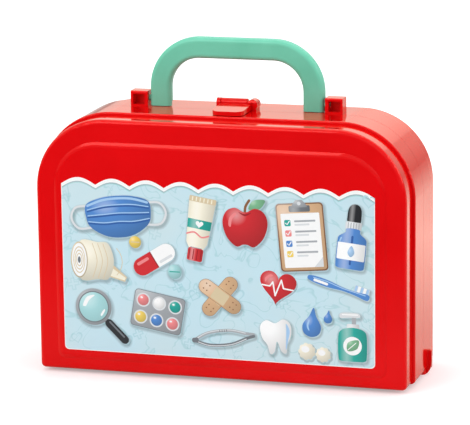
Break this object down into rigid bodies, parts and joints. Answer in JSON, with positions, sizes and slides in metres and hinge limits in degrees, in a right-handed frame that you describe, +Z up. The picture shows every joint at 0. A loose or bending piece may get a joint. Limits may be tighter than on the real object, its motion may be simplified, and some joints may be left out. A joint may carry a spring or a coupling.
{
  "type": "toy_doctor_case",
  "caption": "Red plastic toy doctor case with a green folding handle, a flip-up latch clip and a pale blue front label; its front half swings open on hinges in the bottom seam",
  "frame": {"origin": "centre of the bottom of the part's box: on the floor, in the middle of the width, at the seam between the halves", "axes": "+X is the viewer's right when looking at the front label, +Y runs from the front half to the rear half, +Z is up towards the handle"},
  "size_m": [0.2808, 0.0922, 0.2391],
  "materials": {
    "case_plastic": "glossy injection-moulded red plastic",
    "handle_plastic": "satin mint-green plastic",
    "label_print": "printed sheet label with a light gloss",
    "pin_plastic": "red plastic pin"
  },
  "bodies": {
    "base": {"rear_shell": "case_plastic", "latch_pin": "pin_plastic", "hinge_pin_left": "pin_plastic", "hinge_pin_right": "pin_plastic"},
    "lid": {"front_shell": "case_plastic", "front_label": "label_print"},
    "handle": {"handle": "handle_plastic"},
    "latch": {"latch_clip": "case_plastic"}
  },
  "joints": [
    {"name": "lid_hinge", "type": "hinge", "parent": "base", "child": "lid", "pos_m": [0, 0, 0.00245], "axis": [1, 0, 0], "range_deg": [0, 160]},
    {"name": "handle_hinge", "type": "hinge", "parent": "base", "child": "handle", "pos_m": [0, 0.0085, 0.1936], "axis": [1, 0, 0], "range_deg": [-90, 0]},
    {"name": "latch_hinge", "type": "hinge", "parent": "base", "child": "latch", "pos_m": [0, 0.005, 0.1932], "axis": [-1, 0, 0], "range_deg": [0, 75]}
  ]
}
